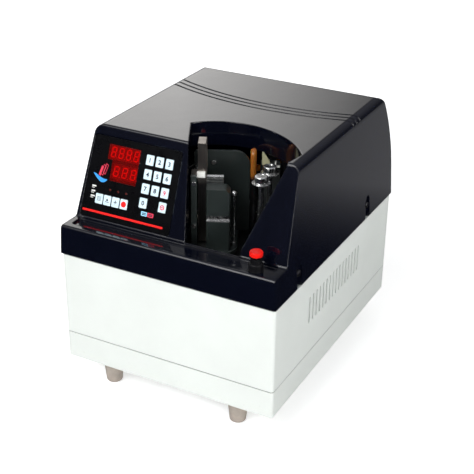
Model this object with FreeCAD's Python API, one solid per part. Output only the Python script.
import FreeCAD, Part
import math
import os
from FreeCAD import Vector as V

# Desktop banknote bundle counter with a vacuum spindle head.
# Modelling frame: x 0..W left to right, y 0..D front to back, z = 0 at the underside of the base
# tray. The export moves the origin to the middle of the footprint, on the floor under the feet.

# ------------------------------------------------------------ driving dimensions (mm, degrees)
W = 300.0                   # width over the cover
D = 375.0                   # depth over the cover
FOOT_H = 32.0               # height of the rubber feet
SEAM_Z = 37.5               # joint between base tray and body shell
LIFT = 10.5                 # deck and all it carries are modelled this much low, raised at export
SPLIT_Z = 139.5             # joint between body shell and cover, before the lift
LEDGE_Z = 180.0             # front ledge of the cover, before the lift
TOP_Z = 291.5               # flat top of the cover, before the lift
LEDGE_D = 33.0              # depth of the ledge
SLOPE_DEG = 69.0            # slope of the control panel face
TAPER = 11.0                # side taper of the cover at its top, per side
INSET = 1.2                 # the casing is this much smaller than the cover all round
SHEET = 1.8                 # sheet thickness of tray and shell
GAP = 0.02                  # air between parts that rest on each other

SHELL_TOP = SPLIT_Z + LIFT
SHELL_IN = INSET + SHEET    # inner face of the shell's walls
DECK_BOTTOM = SPLIT_Z - 0.15
DECK_TOP = SPLIT_Z + 2.35
ON_DECK = DECK_TOP + GAP
COVER_BOTTOM = SPLIT_Z + 0.3
TROUGH_Z = LEDGE_Z - 2.8    # floor of the trough in the ledge
PANEL_Y0 = D - SHELL_IN - 2.0   # inner face of the rear panel
PANEL_Y1 = D - SHELL_IN - GAP   # outer face of the rear panel

FOOT_INSET = 22.0           # foot centres from the front and rear edge
FEET = [(W / 2 + dx, y) for dx in (-92.0, 92.0) for y in (FOOT_INSET, D - FOOT_INSET)]
FOOT_HOLE_R = 2.6
FOOT_POCKET = 14.0          # depth of the screw pocket in a foot

BUTTON_X, BUTTON_Y = 266.0, 15.0
INLET_X, INLET_Z = 232.0, 93.0
FAN_X, FAN_Z = 95.0, 93.0

HOLDER_X, HOLDER_Y = 161.0, 33.0   # front left corner of the note well
HOLDER_DEG = 25.6                  # turn of the note holder about the vertical
PIVOT_A, PIVOT_B = 30.0, 70.0      # holder pivot, in holder coordinates
TABLE_Z = 156.0                    # top of the holder's turntable
ON_TABLE = TABLE_Z + GAP
ROD_A = 8.6                        # guide rods, across the holder
ROD_ZS = (186.0, 243.0)
ROD_R = 2.5

ROTOR_X, ROTOR_Y = 242.0, 120.0
SHAFT_R = 6.0
SPINDLE_R = 23.25                  # radius of the circle of spindles
SPINDLE_DEGS = [143.3 + 90.0 * i for i in range(4)]
GEAR_TEETH = 24                    # sun gear and each pinion
GEAR_MODULE = SPINDLE_R / GEAR_TEETH
GEAR_Z0, GEAR_Z1 = 147.6, 153.4
PLATE_Z0, PLATE_Z1 = 158.0, 164.0
MOTOR_X, MOTOR_Y = 242.0, 225.0
ROTOR_PULLEY_R, MOTOR_PULLEY_R = 22.0, 9.0
PULLEY_Z = 101.0

# screw kinds: shank radius, head radius, head height
FOOT_SCREW = (2.5, 4.6, 3.0)
CASE_SCREW = (2.0, 3.8, 2.4)
COVER_SCREW = (2.0, 4.3, 2.8)
FLANGE_SCREW = (2.0, 3.4, 1.9)
FAN_SCREW = (2.0, 3.4, 1.7)
INLET_SCREW = (1.5, 2.8, 1.8)
BOARD_SCREW = (1.5, 2.8, 2.0)
HOLE_R = 2.05                      # clearance hole for a shank of radius 2

nodes = {}


def put(name, *shapes):
    nodes.setdefault(name, []).extend(shapes)


def put_up(name, shape):
    """add a part that sits on the deck to a node that is not raised at export"""
    raised = shape.copy()
    raised.translate(V(0, 0, LIFT))
    put(name, raised)


# ------------------------------------------------------------ solids
def box(x0, x1, y0, y1, z0, z1):
    return Part.makeBox(x1 - x0, y1 - y0, z1 - z0, V(x0, y0, z0))


def cyl(x, y, z0, z1, r):
    return Part.makeCylinder(r, z1 - z0, V(x, y, z0))


def cyl_x(x0, x1, y, z, r):
    return Part.makeCylinder(r, x1 - x0, V(x0, y, z), V(1, 0, 0))


def cyl_y(x, y0, y1, z, r):
    return Part.makeCylinder(r, y1 - y0, V(x, y0, z), V(0, 1, 0))


def ring(x, y, z0, z1, r_in, r_out):
    return cyl(x, y, z0, z1, r_out).cut(cyl(x, y, z0 - 1, z1 + 1, r_in))


def poly_face(points):
    return Part.Face(Part.makePolygon([V(*p) for p in points] + [V(*points[0])]))


def prism_z(points, z0, z1):
    return poly_face([(x, y, z0) for x, y in points]).extrude(V(0, 0, z1 - z0))


def prism_x(points, x0, x1):
    return poly_face([(x0, y, z) for y, z in points]).extrude(V(x1 - x0, 0, 0))


def around(x, y, r, angle):
    """point at a radius and an angle in radians about (x, y)"""
    return x + r * math.cos(angle), y + r * math.sin(angle)


def hex_prism(x, y, r, z0, z1):
    return prism_z([around(x, y, r, math.radians(60 * i)) for i in range(6)], z0, z1)


def square(x, y, half):
    """corners of a square about (x, y)"""
    return [(x + sx * half, y + sy * half) for sx in (-1, 1) for sy in (-1, 1)]


def fuse(first, *others):
    for other in others:
        first = first.fuse(other)
    return first.removeSplitter()


def drill(shape, spots, z0, z1, r):
    for x, y in spots:
        shape = shape.cut(cyl(x, y, z0, z1, r))
    return shape


def drill_rear(shape, spots, r, y0=D - 10, y1=D + 2):
    """holes along y at (x, z) spots"""
    for x, z in spots:
        shape = shape.cut(cyl_y(x, y0, y1, z, r))
    return shape


# ------------------------------------------------------------ edge picking; where() takes a centre
def anywhere(centre):
    return True


def edges_along(shape, axis, where=anywhere, longer=1.0):
    """edges whose ends lie further apart along an axis ("X", "Y" or "Z") than a length"""
    return [e for e in shape.Edges
            if abs(getattr(e.Vertexes[0], axis) - getattr(e.Vertexes[-1], axis)) > longer
            and where(e.CenterOfMass)]


def round_along(shape, axis, r, where=anywhere, longer=1.0):
    return shape.makeFillet(r, edges_along(shape, axis, where, longer))


def round_rims(shape, r, where=anywhere):
    """fillet full circles"""
    return shape.makeFillet(r, [e for e in shape.Edges
                                if len(e.Vertexes) == 1 and where(e.CenterOfMass)])


def round_where(shape, r, where):
    return shape.makeFillet(r, [e for e in shape.Edges if where(e.CenterOfMass)])


def rrect(x0, x1, y0, y1, z0, z1, r):
    """box with rounded upright edges"""
    return round_along(box(x0, x1, y0, y1, z0, z1), "Z", r)


def safe_fillet(shape, r, pick):
    """fillet the picked edges together or, where that fails, as many as will go one by one"""
    edges = [e for e in shape.Edges if pick(e)]
    if not edges:
        return shape
    # guards against a fillet that fails for the whole set
    try:
        filleted = shape.makeFillet(r, edges)
        if (filleted.isValid() and len(filleted.Solids) == len(shape.Solids)
                and filleted.Volume > 0.5 * shape.Volume):
            return filleted
    except Exception:
        pass
    result = shape
    for edge in edges:
        # guards against a single edge that cannot be filleted; it stays sharp
        try:
            centre = edge.CenterOfMass
            same = [e for e in result.Edges if e.CenterOfMass.distanceToPoint(centre) < 0.05]
            filleted = result.makeFillet(r, same)
            if filleted.isValid() and filleted.Volume > 0.5 * shape.Volume:
                result = filleted
        except Exception:
            pass
    return result


# ------------------------------------------------------------ wires
def line(p, q):
    return Part.makeLine(p, q)


def arc(p, mid, q):
    return Part.Arc(p, mid, q).toShape()


def closed_wire(edges):
    return Part.Wire(Part.__sortEdges__(edges))


# ------------------------------------------------------------ local frames
def matrix(o, ex, ey, ez):
    return FreeCAD.Matrix(ex[0], ey[0], ez[0], o[0], ex[1], ey[1], ez[1], o[1],
                          ex[2], ey[2], ez[2], o[2], 0, 0, 0, 1)


SLOPE_COS, SLOPE_SIN = math.cos(math.radians(SLOPE_DEG)), math.sin(math.radians(SLOPE_DEG))
HOLD_COS, HOLD_SIN = math.cos(math.radians(HOLDER_DEG)), math.sin(math.radians(HOLDER_DEG))
# panel frame: x across, y up the slope, z out of the slope
PANEL_FRAME = matrix((0, LEDGE_D, LEDGE_Z), (1, 0, 0), (0, SLOPE_COS, SLOPE_SIN),
                     (0, -SLOPE_SIN, SLOPE_COS))
# holder frame: a to the right, b to the back, z up
HOLDER_FRAME = matrix((HOLDER_X, HOLDER_Y, 0), (HOLD_COS, HOLD_SIN, 0),
                      (-HOLD_SIN, HOLD_COS, 0), (0, 0, 1))
MIRROR_X = matrix((W, 0, 0), (-1, 0, 0), (0, 1, 0), (0, 0, 1))


def on_panel(shape):
    placed = shape.copy()
    placed.transformShape(PANEL_FRAME)
    return placed


def on_holder(shape):
    placed = shape.copy()
    placed.transformShape(HOLDER_FRAME)
    return placed


def put_holder(name, *shapes):
    for shape in shapes:
        put(name, on_holder(shape))


def holder_point(a, b):
    return HOLDER_X + a * HOLD_COS - b * HOLD_SIN, HOLDER_Y + a * HOLD_SIN + b * HOLD_COS


def pan_screw(seat, direction, length, kind, drive=True):
    """pan head screw; seat is the point under the head, direction runs from head to tip"""
    shank_r, head_r, head_h = kind
    seat, axis = V(*seat), V(*direction)
    back = axis.negative()
    shank = Part.makeCylinder(shank_r, length, seat, axis)
    head = Part.makeCylinder(head_r, head_h, seat, back)
    head = round_rims(head, min(head_h * 0.6, head_r * 0.5),
                      lambda c: (c - seat).dot(back) > head_h * 0.9)
    screw = head.fuse(shank).removeSplitter()
    if not drive:
        return screw
    # cross recess
    top = seat - axis * head_h
    side = V(0, 0, 1).cross(axis)
    if side.Length < 0.1:
        side = V(1, 0, 0)
    side.normalize()
    other = axis.cross(side)
    slot_l, slot_w, slot_d = head_r * 1.1, head_r * 0.24, head_h * 1.2
    for u, v in ((side, other), (other, side.negative())):
        slot = Part.makeBox(slot_l, slot_w, slot_d)
        slot.translate(V(-slot_l / 2, -slot_w / 2, -slot_d / 2))
        slot.transformShape(matrix(top, u, v, axis))
        screw = screw.cut(slot)
    return screw


# ------------------------------------------------------------ places shared by several parts
DECK_SCREWS = ([(x, y) for x in (11.5, W - 11.5) for y in (40, 187, 335)]
               + [(150, 10.5), (90, D - 8.5), (210, D - 8.5)])
PANEL_SCREWS = [(x, z) for x in (24, W - 24) for z in (62, 126)]
INLET_SCREWS = [(INLET_X, INLET_Z + dz) for dz in (-31, 31)]
FAN_SCREWS = square(FAN_X, FAN_Z, 35.75)
ROTOR_SCREWS = square(ROTOR_X, ROTOR_Y, 17)
MOTOR_SCREWS = square(MOTOR_X, MOTOR_Y, 36)
SIDE_SCREW_YS = (66.0, 283.5)
SIDE_SCREW_Z = 159.0
HOSE_A = 79.5                           # where the upper hose runs, across the holder
HOSE_XY = holder_point(HOSE_A, 90.0)    # it rises through the deck here
HOSE2_XY = (194.0, 212.0)               # the second hose passes the deck here


# ------------------------------------------------------------ casing
def casing_block(inset, z0, z1, r):
    return rrect(inset, W - inset, inset, D - inset, z0, z1, r)


def base_tray():
    wall = INSET + 2.2
    tray = casing_block(INSET, 0, SEAM_Z - 0.5, 4)
    tray = tray.cut(casing_block(wall, SHEET, 80, 2))
    # lip that reaches up inside the shell
    lip = casing_block(wall, 0, SEAM_Z + 10.0, 2).cut(casing_block(wall + 1.5, -1, 80, 1))
    tray = drill(fuse(tray, lip), FEET, -1, 5, FOOT_HOLE_R)

    def bottom_rim(edge):
        xs = [v.X for v in edge.Vertexes]
        return (all(abs(v.Z) < 1e-6 for v in edge.Vertexes) and edge.Length > 5
                and (min(xs) < 7 or max(xs) > W - 7))
    put("base_tray", safe_fillet(tray, 1.2, bottom_rim))


def rubber_feet():
    pocket_z = -FOOT_H + FOOT_POCKET
    for x, y in FEET:
        foot = Part.makeCone(10.4, 13.6, FOOT_H, V(x, y, -FOOT_H))
        foot = round_rims(foot, 2.4, lambda c: abs(c.z + FOOT_H) < 1e-3)
        foot = round_rims(foot, 1.2, lambda c: abs(c.z) < 1e-3)
        foot = foot.cut(cyl(x, y, -FOOT_H - 1, 1, FOOT_HOLE_R))
        put("rubber_feet", foot.cut(cyl(x, y, -FOOT_H - 1, pocket_z, 5.0)))
        put("machine_screws", pan_screw((x, y, pocket_z), (0, 0, 1), 26, FOOT_SCREW))
        # round nut on the tray floor
        put("machine_screws", ring(x, y, SHEET + GAP, SHEET + GAP + 3.6, 2.52, 4.4))


def body_shell():
    shell = casing_block(INSET, SEAM_Z + 0.5, SHELL_TOP - 0.2, 4)
    shell = shell.cut(casing_block(SHELL_IN, 0, 200, 2.2))
    top_flange = casing_block(INSET + 1, SHELL_TOP - 2.2, SHELL_TOP - 0.2, 3)
    top_flange = top_flange.cut(rrect(16, W - 16, 16, D - 12, 100, 200, 4))
    seam_flange = casing_block(INSET + 1, SEAM_Z + 10.1, SEAM_Z + 11.9, 3)
    seam_flange = seam_flange.cut(casing_block(9, 0, 200, 4))
    shell = fuse(shell, top_flange, seam_flange)
    # 16 upright louvre slots in each side
    for i in range(16):
        y = 101.5 + 10.5 * i
        for x in (-1, W - 6):
            slot = box(x, x + 7, y - 1.8, y + 1.8, 82.0, 120.0)
            shell = shell.cut(round_along(slot, "X", 1.7))
    rear_window = box(28, W - 28, D - 8, D + 2, 53, 133)
    shell = shell.cut(round_along(rear_window, "Y", 4))
    shell = drill(shell, DECK_SCREWS, 140, 160, HOLE_R)
    put("body_shell", drill_rear(shell, PANEL_SCREWS, HOLE_R))


def rear_panel():
    panel = box(15, W - 15, PANEL_Y0, PANEL_Y1, 50, 134.5)
    panel = panel.cut(box(INLET_X - 14.2, INLET_X + 14.2, D - 12, D + 2,
                          INLET_Z - 24.2, INLET_Z + 24.2))
    panel = drill_rear(panel, INLET_SCREWS, 1.6)
    # fan grille: level slots that fill a circle
    grille_r, pitch = 37.0, 10.0
    for k in range(-3, 4):
        half = math.sqrt(grille_r ** 2 - (k * pitch) ** 2)
        z = FAN_Z + k * pitch
        slot = box(FAN_X - half, FAN_X + half, D - 12, D + 2, z - 3.0, z + 3.0)
        panel = panel.cut(round_along(slot, "Y", 2.9))
    panel = drill_rear(panel, FAN_SCREWS, HOLE_R)
    put("rear_panel", drill_rear(panel, PANEL_SCREWS, HOLE_R))
    for x, z in PANEL_SCREWS:
        put("machine_screws", pan_screw((x, PANEL_Y0 - GAP, z), (0, 1, 0), 4.2, CASE_SCREW))


def mains_inlet():
    """one moulded body with the socket below and the rocker switch above"""
    body = box(INLET_X - 13.8, INLET_X + 13.8, PANEL_Y0 - 22.0, PANEL_Y1 + 0.4,
               INLET_Z - 23.8, INLET_Z + 23.8)
    flange = box(INLET_X - 16, INLET_X + 16, PANEL_Y1 + GAP, PANEL_Y1 + 3.0,
                 INLET_Z - 36, INLET_Z + 36)
    inlet = fuse(body, round_along(flange, "Y", 3))
    depth_y = PANEL_Y1 - 14
    socket = box(INLET_X - 11.6, INLET_X + 11.6, depth_y, D + 2, INLET_Z - 21.5, INLET_Z - 4.5)
    socket = socket.makeChamfer(3.6, edges_along(socket, "Y", lambda c: c.z > INLET_Z - 8))
    inlet = inlet.cut(socket)
    inlet = inlet.cut(box(INLET_X - 9.7, INLET_X + 9.7, depth_y, D + 2,
                          INLET_Z + 3.8, INLET_Z + 18.2))
    pin_y, pin_z = PANEL_Y1 - 6.0, INLET_Z + 11.0
    inlet = inlet.cut(cyl_x(INLET_X - 12.5, INLET_X + 12.5, pin_y, pin_z, 1.55))
    put("mains_inlet", drill_rear(inlet, INLET_SCREWS, 1.6))
    for x, z in INLET_SCREWS:
        put("machine_screws", pan_screw((x, PANEL_Y0 - GAP, z), (0, 1, 0), 4.6, INLET_SCREW))
    # contact blades
    for dx, dz in ((-7, -15.5), (0, -10.5), (7, -15.5)):
        x, z = INLET_X + dx, INLET_Z + dz
        put("mains_inlet", box(x - 1.0, x + 1.0, depth_y + GAP, PANEL_Y1 - 2.5, z - 2.0, z + 2.0))

    # rocker on a pin along x: (y, z) from the pin
    outline = [(-4.0, -5.4), (6.2, -5.4), (4.8, 0.0), (8.2, 6.0), (-4.0, 5.4)]
    rocker = prism_x([(pin_y + y, pin_z + z) for y, z in outline], INLET_X - 9.4, INLET_X + 9.4)
    rocker = safe_fillet(rocker, 0.6, lambda e: e.CenterOfMass.y > pin_y + 4)
    pin = cyl_x(INLET_X - 12.3, INLET_X + 12.3, pin_y, pin_z, 1.5)
    put("switch_rocker", fuse(rocker, pin))


def deck_plate():
    deck = rrect(6.4, W - 6.4, 6.4, D - 5.4, DECK_BOTTOM, DECK_TOP, 3)
    # upright tabs for the cover screws
    for y in SIDE_SCREW_YS:
        for x in (6.4, W - 8.4):
            tab = box(x, x + 2, y - 9, y + 9, DECK_TOP - 1, SIDE_SCREW_Z + 7)
            deck = deck.fuse(round_along(tab, "X", 4, lambda c: c.z > 150))
    deck = deck.removeSplitter()
    for y in SIDE_SCREW_YS:
        deck = deck.cut(cyl_x(0, W, y, SIDE_SCREW_Z, HOLE_R))
    deck = drill(deck, DECK_SCREWS, 130, 150, HOLE_R)
    for x, y in DECK_SCREWS:
        put_up("machine_screws", pan_screw((x, y, ON_DECK), (0, 0, -1), 7, CASE_SCREW))
    deck = drill(deck, [(ROTOR_X, ROTOR_Y)], 130, 150, 14.1)
    deck = drill(deck, [HOSE_XY, HOSE2_XY], 130, 150, 5.5)
    deck = drill(deck, [holder_point(PIVOT_A, PIVOT_B)], 130, 150, 3.05)
    for spots in zip(ROTOR_SCREWS, MOTOR_SCREWS):
        deck = drill(deck, spots, 130, 150, HOLE_R)
    put("deck_plate", deck.cut(rrect(30, 110, 90, 150, 130, 150, 6)))


# ------------------------------------------------------------ top cover
COVER_FOOT_R = 2.2          # rounding along the lower edge
DIAGONAL = math.sqrt(0.5)

# inside of the cover in side view: y, z
INNER_PROFILE = [
    (3.2, 130), (3.2, 174), (36.1, 174), (79.9, TOP_Z - 3), (333, TOP_Z - 3), (341, 284),
    (348.5, 270.0), (356.6, 249.0), (367.6, 214.0), (D - 3.2, 182.0), (D - 3.2, 130),
]

# note well in plan: x, y. Straight left side, two arcs that meet at WELL_JOIN, straight right side
WELL_LEFT = [(161.0, 20.0), (HOLDER_X, HOLDER_Y), (142.7, 75.5), (112.5, 134.0)]
WELL_ARC1_MID = (146.7, 158.0)
WELL_JOIN = (195.0, 162.2)
WELL_ARC2_CENTRE = (170.1, 36.8)
WELL_RIGHT = [(277.3, 106.5), (273.0, 74.0), (235.8, 36.5), (235.8, 20.0)]

# window behind the keypad, in panel coordinates: x0, x1, y0, y1
PANEL_WINDOW = (15.0, 131.0, 13.0, 98.0)
BOARD_SCREWS = [(11.4, 7.6), (132.2, 7.6), (18.2, 101.6), (126.0, 101.6)]


def side_profile():
    """outer side profile of the cover, a closed wire in the plane x = 0"""
    def at(y, z):
        return V(0, y, z)

    foot_r, foot_mid = COVER_FOOT_R, COVER_FOOT_R * (1 - DIAGONAL)
    front_bottom = at(foot_r, COVER_BOTTOM)
    front_low = at(0, COVER_BOTTOM + foot_r)
    # rounded front edge of the ledge
    nose_r = 4
    front_high = at(0, LEDGE_Z - nose_r)
    ledge_start = at(nose_r, LEDGE_Z)
    nose_mid = at(nose_r * (1 - DIAGONAL), LEDGE_Z - nose_r * (1 - DIAGONAL))
    # small hollow fillet at the foot of the slope
    hollow = 2.0
    ledge_end = at(LEDGE_D - hollow, LEDGE_Z)
    hollow_mid = at(LEDGE_D - 0.32, LEDGE_Z + 0.62)
    slope_start = at(LEDGE_D + hollow * SLOPE_COS, LEDGE_Z + hollow * SLOPE_SIN)
    # rounding between slope and top
    brow_r = 4.0
    tangent = brow_r * math.tan(math.radians(SLOPE_DEG / 2))
    brow_y = LEDGE_D + (TOP_Z - LEDGE_Z) / SLOPE_SIN * SLOPE_COS
    slope_end = at(brow_y - tangent * SLOPE_COS, TOP_Z - tangent * SLOPE_SIN)
    top_start = at(brow_y + tangent, TOP_Z)
    brow_mid = at(*around(top_start.y, TOP_Z - brow_r, brow_r, math.radians(90 + SLOPE_DEG / 2)))
    # rear: a small rounding runs into a long arc that meets the upright back at back_z
    back_r, corner_r, back_z = 208.5, 16.0, 180.0
    join_angle = math.asin((TOP_Z - back_z - corner_r) / (back_r - corner_r))
    join = at(*around(D - back_r, back_z, back_r, join_angle))
    corner = around(join.y, join.z, -corner_r, join_angle)
    corner_mid = at(*around(*corner, corner_r, (join_angle + math.pi / 2) / 2))
    top_end = at(corner[0], TOP_Z)
    back_mid = at(*around(D - back_r, back_z, back_r, join_angle / 2))
    back_high = at(D, back_z)
    back_low = at(D, COVER_BOTTOM + foot_r)
    back_bottom = at(D - foot_r, COVER_BOTTOM)
    return closed_wire([
        arc(front_bottom, at(foot_mid, COVER_BOTTOM + foot_mid), front_low),
        line(front_low, front_high),
        arc(front_high, nose_mid, ledge_start),
        line(ledge_start, ledge_end),
        arc(ledge_end, hollow_mid, slope_start),
        line(slope_start, slope_end),
        arc(slope_end, brow_mid, top_start),
        line(top_start, top_end),
        arc(top_end, corner_mid, join),
        arc(join, back_mid, back_high),
        line(back_high, back_low),
        arc(back_low, at(D - foot_mid, COVER_BOTTOM + foot_mid), back_bottom),
        line(back_bottom, front_bottom),
    ])


def tapered_block(inset, bottom, top, top_r, foot_r=0):
    """the cover's front view, a trapezoid with rounded top corners, run through the whole depth"""
    lean = TAPER / (TOP_Z - SPLIT_Z)
    lean_angle = math.atan(lean)

    def left_x(z):
        return (z - SPLIT_Z) * lean + inset

    def mirrored(p):
        return V(W - p.x, 0, p.z)

    low = V(left_x(bottom + foot_r), 0, bottom + foot_r)
    tangent = top_r * math.tan((math.pi / 2 - lean_angle) / 2)
    high_z = top - tangent * math.cos(lean_angle)
    high = V(left_x(high_z), 0, high_z)
    top_left = V(left_x(top) + tangent, 0, top)
    mid_x, mid_z = around(top_left.x, top - top_r, top_r,
                          math.pi / 2 + (math.pi / 2 - lean_angle) / 2)
    top_mid = V(mid_x, 0, mid_z)
    if foot_r > 0:
        foot_mid = foot_r * (1 - DIAGONAL)
        start = V(low.x + foot_r, 0, bottom)
        mid = V(low.x + foot_mid, 0, bottom + foot_mid)
        edges = [arc(start, mid, low), arc(mirrored(low), mirrored(mid), mirrored(start)),
                 line(mirrored(start), start)]
    else:
        edges = [line(mirrored(low), low)]
    edges += [
        line(low, high),
        arc(high, top_mid, top_left),
        line(top_left, mirrored(top_left)),
        arc(mirrored(top_left), mirrored(top_mid), mirrored(high)),
        line(mirrored(high), mirrored(low)),
    ]
    return Part.Face(closed_wire(edges)).extrude(V(0, D, 0))


def cover_block():
    """the cover as a full block, its front and rear side edges rounded"""
    side = Part.Face(side_profile()).extrude(V(W, 0, 0))
    front = tapered_block(0.0, COVER_BOTTOM, TOP_Z, 12.0, COVER_FOOT_R)
    block = side.common(front).removeSplitter().Solids[0]

    def side_edge(edge):
        """the upright front and rear corners, the side edges of ledge and slope"""
        c = edge.CenterOfMass
        if not (c.x < 9 or c.x > W - 9) or edge.Length < 3:
            return False
        if c.z < SPLIT_Z + 2.0:
            return False
        bounds = edge.BoundBox
        if bounds.YLength > 0.8 * D:
            return False
        return (c.y < 60 or c.y > 340) and bounds.XLength < 7 and c.z < 284
    return safe_fillet(block, 2.5, side_edge)


def well_outline():
    def at(point):
        return V(point[0], point[1], 100.0)

    left = [at(p) for p in WELL_LEFT]
    right = [at(p) for p in WELL_RIGHT]
    join = at(WELL_JOIN)
    cx, cy = WELL_ARC2_CENTRE
    start = math.atan2(join.y - cy, join.x - cx)
    end = math.atan2(right[0].y - cy, right[0].x - cx)
    arc2_mid = around(cx, cy, math.hypot(join.x - cx, join.y - cy), (start + end) / 2)
    edges = [line(p, q) for p, q in zip(left, left[1:])]
    edges.append(arc(left[-1], at(WELL_ARC1_MID), join))
    edges.append(arc(join, at(arc2_mid), right[0]))
    edges += [line(p, q) for p, q in zip(right, right[1:])]
    edges.append(line(right[-1], left[0]))
    return Part.Face(closed_wire(edges))


def with_note_well(cover, block):
    """add the skirt round the note well, then cut the well"""
    face = well_outline()
    well = face.extrude(V(0, 0, 300))
    grown = face.makeOffset2D(2.6, join=0, fill=False, openResult=False)
    if grown.Faces:
        grown = grown.Faces[0]
    skirt = grown.cut(face).extrude(V(0, 0, 300))
    keep_back = box(0, W, 92, D, 259.5, 320)
    keep_front = box(0, W, LEDGE_D - 0.5, 92.5, LEDGE_Z - 6, 320)
    skirt = skirt.common(keep_back.fuse(keep_front)).common(block)
    # the well stops at the line of the slope's foot and leaves the ledge whole
    return cover.fuse(skirt).cut(well.common(box(0, W, LEDGE_D, D, 100, 400)))


def with_grooves(cover):
    """trough in the ledge and three arched grooves across the top"""
    cover = cover.cut(rrect(11, W - 12, 10.5, LEDGE_D - 0.2, TROUGH_Z, LEDGE_Z + 5, 4.5))
    cover = cover.cut(cyl(BUTTON_X, BUTTON_Y, TROUGH_Z, LEDGE_Z + 5, 9.2))
    depth = 1.1
    core = tapered_block(depth, 100.0, TOP_Z - depth, 11.0)
    centre_x, centre_y, half_width = 170.0, 612.5, 1.1
    for r in (370.0, 380.5, 391.0):
        groove = ring(centre_x, centre_y, 284, TOP_Z + 5, r - half_width, r + half_width)
        groove = groove.common(box(-2, W + 2, 150, 330, 280, TOP_Z + 6))
        cover = cover.cut(groove.cut(core))
    return cover


def with_panel_openings(cover):
    """recess for the keypad film, window behind it, bosses for the display board"""
    recess = prism_z([(7.0, 2.2), (138.0, 2.2), (138.0, 107.0), (12.0, 107.0)], -1.6, 8)
    cover = cover.cut(on_panel(round_along(recess, "Z", 4)))
    for x, y in BOARD_SCREWS:
        cover = cover.fuse(on_panel(cyl(x, y, -11.2, -4.5, 3.3)))
    cover = cover.cut(on_panel(rrect(*PANEL_WINDOW, -30, 2, 3)))
    for x, y in BOARD_SCREWS:
        cover = cover.cut(on_panel(cyl(x, y, -11.5, -3.2, 1.55)))
    return cover


def with_side_pockets(cover, block):
    """pockets for the side screws, each with a boss inside"""
    depth, pocket_r = 3.9, 7.2
    arch_z = SIDE_SCREW_Z + 6
    for y in SIDE_SCREW_YS:
        for mirror in (False, True):
            boss = box(0.3, 6.2, y - 10, y + 10, COVER_BOTTOM, SIDE_SCREW_Z + 16)
            pocket = box(-2, depth, y - pocket_r, y + pocket_r, SPLIT_Z - 2, arch_z)
            pocket = pocket.fuse(cyl_x(-2, depth, y, arch_z, pocket_r))
            hole = cyl_x(-2, 10, y, SIDE_SCREW_Z, 2.1)
            x, dx = depth - GAP, 1
            if mirror:
                boss, pocket, hole = [s.transformGeometry(MIRROR_X) for s in (boss, pocket, hole)]
                x, dx = W - x, -1
            cover = cover.fuse(boss.common(block)).cut(pocket).cut(hole)
            put("cover_screws", pan_screw((x, y, SIDE_SCREW_Z), (dx, 0, 0), 9, COVER_SCREW))
    return cover


def top_cover():
    block = cover_block()
    inner = prism_x(INNER_PROFILE, 0, W).common(tapered_block(3.2, 130.0, TOP_Z - 3, 9.5))
    cover = with_note_well(block.cut(inner), block)
    cover = with_panel_openings(with_grooves(cover))
    cover = with_side_pockets(cover, block)
    cover = cover.cut(cyl(BUTTON_X, BUTTON_Y, 160, 190, 6.2)).removeSplitter()
    put("top_cover", max(cover.Solids, key=lambda solid: solid.Volume))


# ------------------------------------------------------------ control panel, in panel coordinates
KEY_W, KEY_H = 10.5, 12.5
KEY_ROWS = (("1", "2", "3"), ("4", "5", "6"), ("7", "8", "9"), ("0", None, "clear"))
KEYS = {"key_" + name: (95.0 + 13.7 * column, 88.2 - 17.7 * row)
        for row, names in enumerate(KEY_ROWS) for column, name in enumerate(names) if name}
for column, name in enumerate(("mode", "batch", "add", "reset")):
    KEYS["key_" + name] = (32.0 + 12.1 * column, 27.6)
LAMPS = [(45.8 + 11.8 * i, 41.2) for i in range(3)]
# digit rows: count, first x, pitch, y
DIGIT_ROWS = ((4, 41.3, 10.9, 88.3), (3, 48.9, 12.3, 65.2))


def window_outline(grow=0.0):
    """display window: a wide upper row, its lower row set in at the left"""
    left, right, bottom, top = 35.2 - grow, 80.2 + grow, 52.6 - grow, 97.6 + grow
    step_x, step_y = 42.4 - grow, 78.6 - grow
    return [(left, step_y), (left, top), (right, top), (right, bottom),
            (step_x, bottom), (step_x, step_y)]


def rect_on_panel(x, y, width, height, z0, z1, r):
    return rrect(x - width / 2, x + width / 2, y - height / 2, y + height / 2, z0, z1, r)


def keypad():
    # the film's left edge follows the lean of the cover's side
    film = prism_z([(8.0, 3.0), (137.0, 3.0), (137.0, 106.0), (13.0, 106.0)], -1.58, -0.3)
    film = round_along(film, "Z", 3)
    for x, y in KEYS.values():
        film = film.cut(rect_on_panel(x, y, KEY_W + 0.4, KEY_H + 0.4, -5, 5, 1.2))
    film = drill(film, LAMPS, -5, 5, 1.6)
    film = film.cut(prism_z(window_outline(0.1), -5, 5))
    put("keypad_overlay", on_panel(film))
    for name, (x, y) in KEYS.items():
        key = rect_on_panel(x, y, KEY_W, KEY_H, -3.0, 0.25, 1.0)
        key = safe_fillet(key, 0.3, lambda e: e.CenterOfMass.z > 0.2)
        put(name, on_panel(key))


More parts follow.
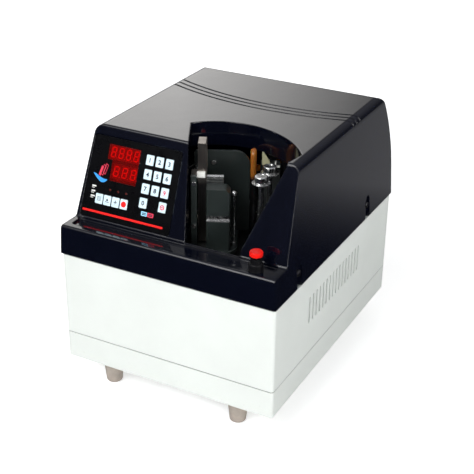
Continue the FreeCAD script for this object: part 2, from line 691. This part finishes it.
def display():
    put("display_window", on_panel(prism_z(window_outline(), -2.6, -0.35)))
    for count, first_x, pitch, y in DIGIT_ROWS:
        for i in range(count):
            block = rect_on_panel(first_x + pitch * i, y, pitch - 0.2, 18.6, -8.6, -3.4, 0.4)
            put("led_digits", on_panel(block))

    board_z = -11.2
    board = rrect(7.6, 133.6, 4.4, 104.8, -12.8, board_z - GAP, 3)
    board = drill(board, BOARD_SCREWS, -20, 0, 1.6)
    # the board is trimmed to stay 1 mm inside the leaning wall
    inside = tapered_block(4.2, 130.0, TOP_Z - 4, 9.0)
    put("display_board", on_panel(board).common(inside))
    # a switch under each key
    for x, y in KEYS.values():
        switch = box(x - 3, x + 3, y - 3, y + 3, board_z, -7.6)
        put("display_board", on_panel(fuse(switch, cyl(x, y, -7.6, -3.7, 1.7))))
    lamp_r, dome_z = 1.5, -0.9
    for x, y in LAMPS:
        lamp = cyl(x, y, board_z, dome_z, lamp_r)
        dome = Part.makeSphere(lamp_r, V(x, y, dome_z))
        put("display_board", on_panel(fuse(lamp, dome)))
    for x, y in BOARD_SCREWS:
        screw = pan_screw((x, y, -12.84), (0, 0, 1), 8, BOARD_SCREW)
        put_up("machine_screws", on_panel(screw))


def start_button():
    x, y = BUTTON_X, BUTTON_Y
    collar_z = TROUGH_Z + 11.5
    housing = cyl(x, y, TROUGH_Z + GAP, collar_z, 8.8)
    housing = round_rims(housing, 1.2, lambda c: c.z > TROUGH_Z + 11)
    housing = fuse(housing, cyl(x, y, 155, TROUGH_Z + 1.0, 6.0),
                   cyl(x, y, collar_z - 0.5, TROUGH_Z + 18.2, 7.0))
    nut = hex_prism(x, y, 9.0, 170.6, 173.6).cut(cyl(x, y, 160, 180, 6.02))
    block = rrect(x - 8, x + 8, y - 8, y + 8, 144.5, 154.9, 1.5)
    put("button_housing", housing.cut(cyl(x, y, 150, 230, 3.05)), nut, block)

    cap = cyl(x, y, TROUGH_Z + 21.4, TROUGH_Z + 26.8, 8.0)
    cap = round_rims(cap, 1.6, lambda c: c.z > TROUGH_Z + 26)
    cap = cap.cut(cyl(x, y, TROUGH_Z + 10, TROUGH_Z + 22.6, 6.6))
    put("start_button", fuse(cap, cyl(x, y, 158.6, TROUGH_Z + 23, 3.0)))


# ------------------------------------------------------------ note holder, in holder coordinates
def turntable():
    a, b, boss_r = PIVOT_A, PIVOT_B, 13.0
    table = box(4.0, 62.0, 20.0, 104.0, 150.0, TABLE_Z)
    table = round_along(table, "Z", 26.0, lambda c: c.x > 60 and c.y < 30)
    table = round_along(table, "Z", 6.0, lambda c: c.x < 6)
    table = fuse(table, cyl(a, b, 144.2, TABLE_Z, boss_r))
    table = table.cut(cyl(a, b, 140, 170, 6.05))
    table = safe_fillet(table, 1.0, lambda e: abs(e.CenterOfMass.z - TABLE_Z) < 0.01
                        and e.CenterOfMass.y < 60)
    put_holder("holder_turntable", table)

    post = fuse(cyl(a, b, ON_DECK, DECK_TOP + 2.0, boss_r), cyl(a, b, ON_DECK, 157.7, 6.0))
    post = fuse(post, cyl(a, b, DECK_BOTTOM - 6, DECK_TOP + 1, 3.0))
    collar = ring(a, b, TABLE_Z + 0.2, 157.6, 6.02, 9.0)
    # end stop for the swing: a post on the deck with a slanted, ball-ended rod
    tip = V(66.5, 104.0, 182.0)
    along = V(80.5, 109.0, 190.0) - tip
    rod = Part.makeCylinder(1.5, along.Length, tip, along).fuse(Part.makeSphere(1.9, tip))
    stop = cyl(81.5, 109.5, ON_DECK, 193.0, 4.0)
    stop = stop.fuse(cyl(81.5, 109.5, ON_DECK, DECK_TOP + 3, 6.0))
    put_holder("holder_pivot_post", post, collar, fuse(stop, rod))


def holder_column():
    column = box(24.0, 53.0, 28.0, 48.0, ON_TABLE, 238.0)
    column = column.makeChamfer(5.0, edges_along(column, "Y", lambda c: c.x > 50 and c.z > 230))
    column = round_along(column, "Z", 2.0, longer=20)
    # level groove across the front
    column = column.cut(box(20, 60, 26.5, 31.0, 195.5, 203.5))
    # hollow, open at the back below its cap
    column = column.cut(box(26.5, 50.5, 33.1, 50, 150, 230))
    strips = [box(24.3, 52.7, 28.5, 31.0 - GAP, z, z + 1.0) for z in (195.52, 202.48)]
    rod_post = round_along(box(4.8, 12.2, 36.0, 41.0, ON_TABLE, 252.0), "Z", 1.0)
    for z in ROD_ZS:
        rod_post = rod_post.cut(cyl_y(ROD_A, 30, 50, z, ROD_R + 0.02))
    put_holder("holder_column", column, *strips, rod_post)


def guide_rods():
    for z in ROD_ZS:
        put_holder("guide_rods", cyl_y(ROD_A, 33.0, 87.9, z, ROD_R))
    # upright finger pin with a ball head
    a, b = 57.0, 46.0
    pin = fuse(cyl(a, b, ON_TABLE, 160.0, 3.6), cyl(a, b, ON_TABLE, 224.0, 1.7),
               Part.makeSphere(3.6, V(a, b, 226.0)))
    put_holder("guide_rods", pin)


def backplate():
    plate = box(5.6, 75.0, 88.0, 92.0, ON_TABLE, 264.5)
    plate = round_along(plate, "Y", 18.0, lambda c: c.x > 70 and c.z > 240)
    plate = round_along(plate, "Y", 5.0, lambda c: c.x < 7 and c.z > 240)
    # two feet behind the plate
    plate = fuse(plate, box(46.0, 62.0, 92.0, 103.0, ON_TABLE, 159.5),
                 box(6.0, 14.0, 92.0, 103.0, ON_TABLE, 159.5))
    # round button on the front face
    put_holder("holder_backplate", plate, cyl_y(30.0, 86.55, 87.95, 249.0, 3.0))


def clamp():
    """a channel bar with ears that slide on the two guide rods"""
    top = 289.0
    bar = box(12.8, 23.0, 50.0, 72.0, 158.0, top)
    bar = bar.cut(box(10, 20.4, 52.6, 69.4, 150, 283.5))
    for z in ROD_ZS:
        bar = bar.fuse(box(4.2, 21.0, 55.0, 65.0, z - 6.0, z + 6.0))
    bar = bar.removeSplitter()
    for z in ROD_ZS:
        bar = bar.cut(cyl_y(ROD_A, 30, 90, z, ROD_R + 0.05))
    bar = safe_fillet(bar, 0.8, lambda e: abs(e.CenterOfMass.z - top) < 0.01)
    put_holder("clamp_bar", bar)

    pad = box(13.2, 22.6, 72.0 + GAP, 75.0, 164.0, 286.0)
    put_holder("clamp_pad", round_where(pad, 0.8, lambda c: abs(c.y - 75.0) < 0.01))

    # blocks fixed to the right and front faces of the bar, with a short rod above the right one
    right = round_where(box(23.0 + GAP, 44.0, 50.4, 57.4, 231.6, 240.0), 1.0,
                        lambda c: c.x > 43.9)
    rod = cyl_x(23.0 + GAP, 44.0 + GAP, 53.6, 244.4, 2.6)
    front = round_where(box(11.6, 22.0, 45.8, 50.0 - GAP, 245.5, 253.0), 1.0, lambda c: c.y < 46)
    put_holder("clamp_carriage", right, rod, front)


def fixed_guides():
    """bracket beside the spindles, standing on the deck, with two guides at its front"""
    bracket = fuse(box(88.0, 113.0, 96.0, 98.0, ON_DECK, 249.6),
                   box(88.0, 113.0, 96.0, 108.0, ON_DECK, DECK_TOP + 2.2))
    put_holder("sensor_bracket", bracket)
    back = 96.0 - GAP
    outline = [(90.0, 246.5), (90.0, 264.0), (92.5, 263.0), (99.5, 251.5), (99.5, 246.5)]
    blade = poly_face([(a, 89.0, z) for a, z in outline]).extrude(V(0, 1.4, 0))
    blade = fuse(blade, box(90.0, 99.5, 89.0, back, 246.5, 251.5))
    angle = fuse(box(106.0, 107.6, 91.0, back, 242.5, 249.8),
                 box(106.0, 112.5, 91.0, back, 242.5, 244.1))
    put_holder("note_guide", blade, angle)


# ------------------------------------------------------------ spindle head
def involute_gear(x, y, phase_deg):
    """20 degree involute gear, its flanks drawn as short chords"""
    pressure = math.radians(20)
    slack = math.radians(0.35)     # each flank is turned back by this for play
    pitch_r = GEAR_TEETH * GEAR_MODULE / 2.0
    base_r = pitch_r * math.cos(pressure)
    tip_r = pitch_r + 0.85 * GEAR_MODULE
    root_r = pitch_r - 1.2 * GEAR_MODULE

    def half_angle(r):
        roll = math.acos(base_r / max(r, base_r))
        return (math.pi / (2 * GEAR_TEETH) + math.tan(pressure) - pressure
                - (math.tan(roll) - roll) - slack)

    radii = [root_r, base_r, (base_r + pitch_r) / 2, pitch_r, (pitch_r + tip_r) / 2, tip_r]
    points = []
    for i in range(GEAR_TEETH):
        middle = math.radians(phase_deg) + 2 * math.pi * i / GEAR_TEETH
        points += [around(x, y, r, middle - half_angle(r)) for r in radii]
        points += [around(x, y, r, middle + half_angle(r)) for r in reversed(radii)]
    return prism_z(points, GEAR_Z0, GEAR_Z1)


def rotor_bearing():
    x, y = ROTOR_X, ROTOR_Y
    sleeve_r = 8.6
    gear = involute_gear(x, y, 0.0)
    put("sun_gear", gear.cut(cyl(x, y, GEAR_Z0 - 1, GEAR_Z1 + 1, sleeve_r + GAP)))

    flange_z = DECK_TOP + 2.6
    housing = fuse(cyl(x, y, 114.0, flange_z, 14.0),
                   rrect(x - 22, x + 22, y - 22, y + 22, ON_DECK, flange_z, 5),
                   cyl(x, y, DECK_TOP, 155.6, sleeve_r))
    housing = housing.cut(cyl(x, y, 100, 170, 6.6)).cut(cyl(x, y, 100, 126, 9.0))
    put("bearing_housing", drill(housing, ROTOR_SCREWS, 130, 150, HOLE_R))
    for sx, sy in ROTOR_SCREWS:
        put_up("machine_screws",
               pan_screw((sx, sy, flange_z + GAP), (0, 0, -1), 8, FLANGE_SCREW, drive=False))
    # upper bush and lower bearing
    put("bearing_housing", ring(x, y, 138.0, 155.5, 6.04, 6.58), ring(x, y, 114.1, 125.9, 6.04, 8.98))


def rotor():
    x, y = ROTOR_X, ROTOR_Y
    # the vacuum runs up the bore of the shaft
    shaft = cyl(x, y, 92.0, 171.0, SHAFT_R).cut(cyl(x, y, 80, 150, 2.5))
    nut = hex_prism(x, y, 9.2, PLATE_Z1 + 0.1, 170.0).cut(cyl(x, y, 150, 190, SHAFT_R + GAP))
    put("rotor_shaft", shaft, nut)
    plate = round_rims(cyl(x, y, PLATE_Z0, PLATE_Z1, 36.8), 1.0)
    plate = fuse(plate, cyl(x, y, 156.0, PLATE_Z0 + 0.5, 11.0))
    plate = plate.cut(cyl(x, y, 150, 170, SHAFT_R + 0.01))
    # spindle bores, with lightening holes between them
    for degrees in SPINDLE_DEGS:
        bore = around(x, y, SPINDLE_R, math.radians(degrees))
        between = around(x, y, 26.0, math.radians(degrees + 45))
        plate = drill(plate, [bore], 150, 170, 5.05)
        plate = drill(plate, [between], 150, 170, 4.5)
    put("rotor_plate", plate)


def suction_spindles():
    tooth_pitch = 360.0 / GEAR_TEETH
    for i, degrees in enumerate(SPINDLE_DEGS):
        angle = math.radians(degrees)
        x, y = around(ROTOR_X, ROTOR_Y, SPINDLE_R, angle)
        # a gap of the pinion meets a tooth of the sun gear
        phase = degrees + 180.0 - (-degrees) % tooth_pitch - tooth_pitch / 2
        spindle = fuse(involute_gear(x, y, phase), cyl(x, y, GEAR_Z1 - 1, 164.3, 5.0),
                       cyl(x, y, 164.2, 167.4, 7.0), cyl(x, y, 160, 246.2, 3.4))
        # suction holes on the outward side
        outward = V(math.cos(angle), math.sin(angle), 0)
        for z in (196.0, 206.0, 216.0, 226.0):
            spindle = spindle.cut(Part.makeCylinder(1.1, 6, V(x, y, z), outward))
        flange = round_rims(cyl(x, y, 246.22, 247.8, 11.4), 0.6)
        cap = round_rims(cyl(x, y, 247.82, 256.4, 8.5), 1.8, lambda c: c.z > 256)
        cap = cap.cut(cyl(x, y, 255.6, 258, 5.4))
        put("suction_spindle_%d" % (i + 1), spindle, flange, cap)


# ------------------------------------------------------------ drive
def pulley(x, y, r, bore, hub_r):
    z = PULLEY_Z
    flange_r = r + 2.4
    wheel = fuse(cyl(x, y, z, z + 10.0, r), cyl(x, y, z, z + 1.2, flange_r),
                 cyl(x, y, z + 8.8, z + 10, flange_r), cyl(x, y, z - 3.5, z, hub_r))
    if r > 15:
        # a large pulley is turned out on both faces
        wheel = wheel.cut(ring(x, y, z + 6.0, z + 12, hub_r + 1, r - 3))
        wheel = wheel.cut(ring(x, y, z - 1, z + 4.0, hub_r + 1, r - 3))
    return wheel.cut(cyl(x, y, z - 10, z + 20, bore))


def belt_block(grow, z, height):
    """solid loop round both pulleys, at a distance from their rims"""
    rotor_r, motor_r = ROTOR_PULLEY_R + grow, MOTOR_PULLEY_R + grow
    angle = math.asin((rotor_r - motor_r) / (MOTOR_Y - ROTOR_Y))
    nx, ny = math.cos(angle), math.sin(angle)
    rotor_right = V(ROTOR_X + rotor_r * nx, ROTOR_Y + rotor_r * ny, z)
    motor_right = V(MOTOR_X + motor_r * nx, MOTOR_Y + motor_r * ny, z)
    motor_left = V(MOTOR_X - motor_r * nx, MOTOR_Y + motor_r * ny, z)
    rotor_left = V(ROTOR_X - rotor_r * nx, ROTOR_Y + rotor_r * ny, z)
    loop = closed_wire([
        line(rotor_right, motor_right),
        arc(motor_right, V(MOTOR_X, MOTOR_Y + motor_r, z), motor_left),
        line(motor_left, rotor_left),
        arc(rotor_left, V(ROTOR_X, ROTOR_Y - rotor_r, z), rotor_right),
    ])
    return Part.Face(loop).extrude(V(0, 0, height))


def belt_drive():
    put("rotor_pulley", pulley(ROTOR_X, ROTOR_Y, ROTOR_PULLEY_R, SHAFT_R + 0.01, 10.0))
    put("motor_pulley", pulley(MOTOR_X, MOTOR_Y, MOTOR_PULLEY_R, 3.01, 6.5),
        cyl(MOTOR_X, MOTOR_Y, 96.0, 116.0, 3.0))
    outer = belt_block(1.6, PULLEY_Z + 2.0, 6)
    put("drive_belt", outer.cut(belt_block(0.1, PULLEY_Z + 1.0, 8)))


def drive_motor():
    x, y = MOTOR_X, MOTOR_Y
    motor = round_rims(cyl(x, y, 14.0, 88.0, 31.0), 3)
    motor = fuse(motor, cyl(x, y, 84.0, 91.0, 12.0))
    put("drive_motor", fuse(motor, box(x - 14, x + 14, y + 28, y + 36, 30, 60)))
    # plate hung from the deck on four spacers
    plate = rrect(x - 43, x + 43, y - 43, y + 43, 92.0, 95.0, 5)
    put("motor_bracket", plate.cut(cyl(x, y, 80, 100, 12.4)))
    for sx, sy in MOTOR_SCREWS:
        spacer = cyl(sx, sy, 95.0 + GAP, DECK_BOTTOM - GAP, 5.0)
        put("motor_bracket", spacer.cut(cyl(sx, sy, 125, 150, HOLE_R)))
        put_up("machine_screws",
               pan_screw((sx, sy, ON_DECK), (0, 0, -1), 10, CASE_SCREW, drive=False))
    put("motor_bracket", ring(x, y, 88.1, 91.9, 12.1, 26.0))


# ------------------------------------------------------------ vacuum
def vacuum_pump():
    y, z = 292.0, 50.0
    body = round_rims(cyl_x(62, 148, y, z, 32.0), 4)
    head = round_along(box(150, 205, 262, 322, 16, 84), "X", 6)
    head = fuse(head, cyl_y(194, 250, 263, 60, 5.5))
    # cooling grooves across the top
    for k in range(6):
        head = head.cut(box(156 + 8 * k, 159 + 8 * k, 263, 325, 78, 90))
    cradle = box(64, 204, 262, 322, SHEET + 0.1, 15.9).cut(cyl_x(60, 210, y, z, 32.2))
    put("vacuum_pump", body, head, cradle)


def pipe(points, r, bend):
    """solid round rod along straight runs joined by bends"""
    points = [V(*p) for p in points]
    edges = []
    start = points[0]
    for before, corner, after in zip(points, points[1:], points[2:]):
        u = (corner - before).normalize()
        w = (after - corner).normalize()
        half = math.acos(u.dot(w)) / 2
        tangent = bend * math.tan(half)
        bend_in, bend_out = corner - u * tangent, corner + w * tangent
        centre = corner + (w - u).normalize() * (bend / math.cos(half))
        mid = centre + (corner - centre).normalize() * bend
        edges.append(line(start, bend_in))
        edges.append(arc(bend_in, mid, bend_out))
        start = bend_out
    edges.append(line(start, points[-1]))
    section = Part.Wire([Part.makeCircle(r, points[0], points[1] - points[0])])
    return Part.Wire(edges).makePipeShell([section], True, False)


def vacuum_hoses():
    x, y = HOSE_XY
    over_x, over_y = holder_point(HOSE_A, 99.5)
    pump_z, crest_z, valve_z = 60 - LIFT, 262.0, 236.0
    # from the pump's port up over a crest and down to the valve
    put("vacuum_hoses", pipe([(194, 249.8, pump_z), (x + 0.1, y, pump_z), (x, y, crest_z),
                              (over_x, over_y, crest_z), (over_x, over_y, valve_z),
                              (206, 184, valve_z), (206, 195.9, valve_z)], 4.0, 4.6))
    # from the valve down to the rotary joint under the rotor shaft
    nipple = V(226.2, 127.6, 78.5)
    inward = V(ROTOR_X - nipple.x, ROTOR_Y - nipple.y, 0).normalize()
    end = nipple - inward * 0.1
    run_in = end - inward * 12
    put("vacuum_hoses", pipe([(*HOSE2_XY, 221.9), (*HOSE2_XY, 84.0), (203, 160, 80),
                              (run_in.x, run_in.y, nipple.z), (end.x, end.y, nipple.z)], 3.4, 6.0))
    bore = cyl(ROTOR_X, ROTOR_Y, 76, 98, SHAFT_R + 0.08)
    joint = cyl(ROTOR_X, ROTOR_Y, 70.0, 96.5, 11.0).cut(bore)
    joint = fuse(joint, Part.makeCylinder(4.6, 9.0, nipple, inward))
    put("vacuum_hoses", joint.cut(bore))
    # arm that hangs from the deck and carries the rotary joint
    arm_x, y0, y1 = ROTOR_X + 31.2, ROTOR_Y - 7, ROTOR_Y + 7
    put("vacuum_hoses", fuse(box(arm_x - 4, arm_x, y0, y1, 66.0, DECK_BOTTOM - GAP),
                             box(ROTOR_X - 10, arm_x, y0, y1, 66.0, 69.9)))


def vacuum_valve():
    valve = rrect(190, 222, 196, 226, 222.0, 248.0, 3)
    post = box(200, 216, 227, 230, ON_DECK, 245)
    foot = box(196, 220, 227, 240, ON_DECK, DECK_TOP + 2.4)
    put("vacuum_valve", valve, fuse(post, foot), cyl_y(206, 226.0 + GAP, 226.98, 234, 6.0))


# ------------------------------------------------------------ power unit and fan
# upright round components: x, y, radius, height
BOARD_CANS = ((40, 50, 9, 26), (64, 50, 9, 26), (44, 80, 6, 16), (60, 80, 6, 16))
# box components: x, y, width, depth, height
BOARD_BLOCKS = ((90, 40, 34, 14, 4), (90, 70, 20, 20, 3), (130, 70, 10, 34, 12),
                (150, 34, 28, 10, 16), (150, 90, 28, 10, 10))


def power_unit():
    core = box(20, 96, 176, 236, SHEET + 0.1, 66.0).cut(box(34, 82, 170, 240, 14.0, 54.0))
    winding = rrect(35, 81, 166, 246, 14.6, 53.4, 4)
    board_z0, board_z1 = 12.0, 13.6
    board = rrect(18, 190, 22, 122, board_z0, board_z1, 3)
    put("power_unit", core, winding, board)
    for x, y in ((24, 28), (184, 28), (24, 116), (184, 116)):
        put("power_unit", cyl(x, y, SHEET + 0.05, board_z0 - GAP, 3.0))
    top = board_z1 + GAP
    for x, y, r, height in BOARD_CANS:
        put("power_unit", cyl(x, y, top, top + height, r))
    for x, y, width, depth, height in BOARD_BLOCKS:
        put("power_unit", box(x, x + width, y, y + depth, top, top + height))


def cooling_fan():
    y0, y1 = PANEL_Y0 - 25.1, PANEL_Y0 - 0.1
    hub_at = V(FAN_X, y0, FAN_Z)
    origin, x_axis, z_axis = V(0, 0, 0), V(1, 0, 0), V(0, 0, 1)
    frame = box(FAN_X - 40, FAN_X + 40, y0, y1, FAN_Z - 40, FAN_Z + 40)
    frame = round_along(frame, "Y", 4)
    frame = frame.cut(cyl_y(FAN_X, y0 - 1, y0 + 29, FAN_Z, 38.2))
    # hub carried by three arms
    hub = cyl_y(FAN_X, y0, y0 + 3.0, FAN_Z, 16)
    for k in range(3):
        arm = box(0, 39.2, -2, 2, 0, 3)
        arm.rotate(origin, z_axis, 30 + 120 * k)
        arm.rotate(origin, x_axis, 90)
        arm.translate(hub_at + V(0, 3, 0))
        hub = hub.fuse(arm)
    frame = drill_rear(fuse(frame, hub), FAN_SCREWS, HOLE_R, y0 - 1, y0 + 29)
    put("cooling_fan", frame.cut(cyl_y(FAN_X, y0 - 1, y0 + 9, FAN_Z, 2.06)))
    for x, z in FAN_SCREWS:
        put("machine_screws", pan_screw((x, PANEL_Y1 + GAP, z), (0, -1, 0), 12, FAN_SCREW))

    rotor = cyl_y(FAN_X, y0 + 4.0, y0 + 20.0, FAN_Z, 16.5)
    rotor = round_rims(rotor, 1.5, lambda c: c.y > y0 + 10)
    rotor = fuse(rotor, cyl_y(FAN_X, y0 + 0.5, y0 + 5.5, FAN_Z, 2.0))
    blades, twist = 7, 35
    for k in range(blades):
        blade = box(15, 37.0, -9.5, 9.5, -0.8, 0.8)
        blade.rotate(origin, x_axis, twist)
        blade.rotate(origin, z_axis, 360.0 / blades * k)
        blade.rotate(origin, x_axis, 90)
        blade.translate(hub_at + V(0, 12, 0))
        rotor = rotor.fuse(blade)
    put("fan_rotor", rotor.removeSplitter())


# ------------------------------------------------------------ build and export
for build in (base_tray, rubber_feet, body_shell, rear_panel, mains_inlet, deck_plate, top_cover,
              keypad, display, start_button, turntable, holder_column, guide_rods, backplate,
              clamp, fixed_guides, rotor_bearing, rotor, suction_spindles, belt_drive,
              drive_motor, vacuum_pump, vacuum_hoses, vacuum_valve, power_unit, cooling_fan):
    build()

# nodes that are modelled at their final height
NOT_LIFTED = ("base_tray", "body_shell", "rear_panel", "rubber_feet", "mains_inlet",
              "switch_rocker", "vacuum_pump", "power_unit", "cooling_fan", "fan_rotor",
              "machine_screws")
os.makedirs("parts", exist_ok=True)
for name, shapes in nodes.items():
    solids = [solid for shape in shapes for solid in (shape.Solids or [shape])]
    if len(solids) == 1:
        node = solids[0].copy()
    else:
        node = Part.makeCompound([solid.copy() for solid in solids])
    rise = 0 if name in NOT_LIFTED else LIFT
    node.translate(V(-W / 2, -D / 2, FOOT_H + rise))
    node.exportStep("parts/%s.step" % name)
